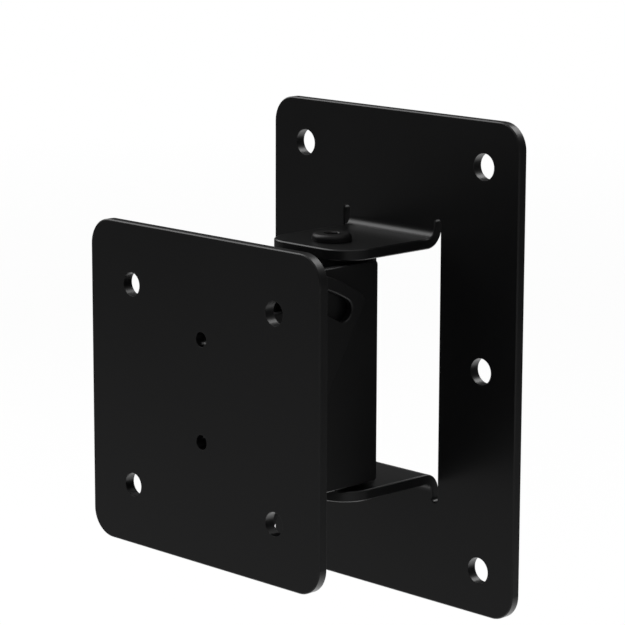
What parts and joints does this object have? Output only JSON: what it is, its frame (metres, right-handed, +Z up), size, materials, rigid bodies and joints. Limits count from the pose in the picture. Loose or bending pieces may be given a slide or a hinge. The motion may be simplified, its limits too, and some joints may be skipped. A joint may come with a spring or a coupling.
{
  "type": "speaker wall bracket",
  "caption": "Swivelling and tilting wall bracket: folded wall plate with tabs around a round hub, slotted tilt bracket and square plate for a loudspeaker.",
  "frame": {"origin": "centre of the wall plate's back face, on the wall", "axes": "+Z up, +Y into the wall, -Y out into the room, X along the wall"},
  "size_m": [0.127, 0.1006, 0.186],
  "materials": {
    "powder_coat": "smooth semi-gloss black powder coat on steel",
    "black_steel": "black oxide on steel",
    "nylon": "black plastic"
  },
  "bodies": {
    "wall": {"wall_plate": "powder_coat", "swivel_screw": "black_steel", "swivel_barrel_nut": "black_steel"},
    "hub": {"swivel_tube": "powder_coat", "upper_bush": "nylon", "lower_bush": "nylon", "left_yoke_cheek": "powder_coat", "right_yoke_cheek": "powder_coat", "left_hub_weld": "powder_coat", "right_hub_weld": "powder_coat", "left_rear_weld": "powder_coat", "right_rear_weld": "powder_coat", "left_tilt_pivot_screw": "black_steel", "left_pivot_spacer": "nylon", "left_tilt_pivot_nut": "black_steel", "left_lock_screw": "black_steel", "left_lock_washer": "black_steel", "left_lock_spacer": "nylon", "left_lock_nut": "black_steel", "right_tilt_pivot_screw": "black_steel", "right_pivot_spacer": "nylon", "right_tilt_pivot_nut": "black_steel", "right_lock_screw": "black_steel", "right_lock_washer": "black_steel", "right_lock_spacer": "nylon", "right_lock_nut": "black_steel"},
    "head": {"tilt_bracket": "powder_coat", "speaker_plate": "powder_coat", "upper_bracket_weld": "powder_coat", "lower_bracket_weld": "powder_coat"}
  },
  "joints": [
    {"name": "swivel", "type": "hinge", "parent": "wall", "child": "hub", "pos_m": [0, -0.0355, 0], "axis": [0, 0, 1], "range_deg": [-55, 55]},
    {"name": "tilt", "type": "hinge", "parent": "hub", "child": "head", "pos_m": [0, -0.081, -0.023], "axis": [1, 0, 0], "range_deg": [-10, 22]}
  ]
}
